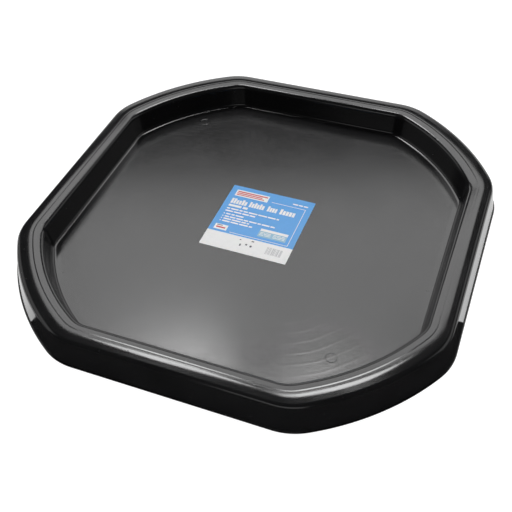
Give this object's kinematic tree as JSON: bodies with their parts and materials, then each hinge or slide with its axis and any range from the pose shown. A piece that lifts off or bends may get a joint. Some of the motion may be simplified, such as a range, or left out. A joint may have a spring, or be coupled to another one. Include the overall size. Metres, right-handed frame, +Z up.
{
  "type": "mortar spot board",
  "caption": "Square shallow black plastic mixing tray for mortar, with large rounded corners, a domed hollow rim and a printed label on its floor.",
  "frame": {"origin": "middle of the tray on the surface that its foot stands on", "axes": "+Z up out of the tray; +X and +Y through the middles of two neighbouring flat sides; the label reads upright seen from -Y"},
  "size_m": [0.7, 0.7, 0.0466],
  "materials": {
    "tray_plastic": "black moulded polypropylene, glossy rim and skirt, satin floor",
    "label_film": "coated paper label, sky blue field over a white band"
  },
  "bodies": {
    "root": {"tray": "tray_plastic", "label": "label_film"}
  },
  "joints": []
}
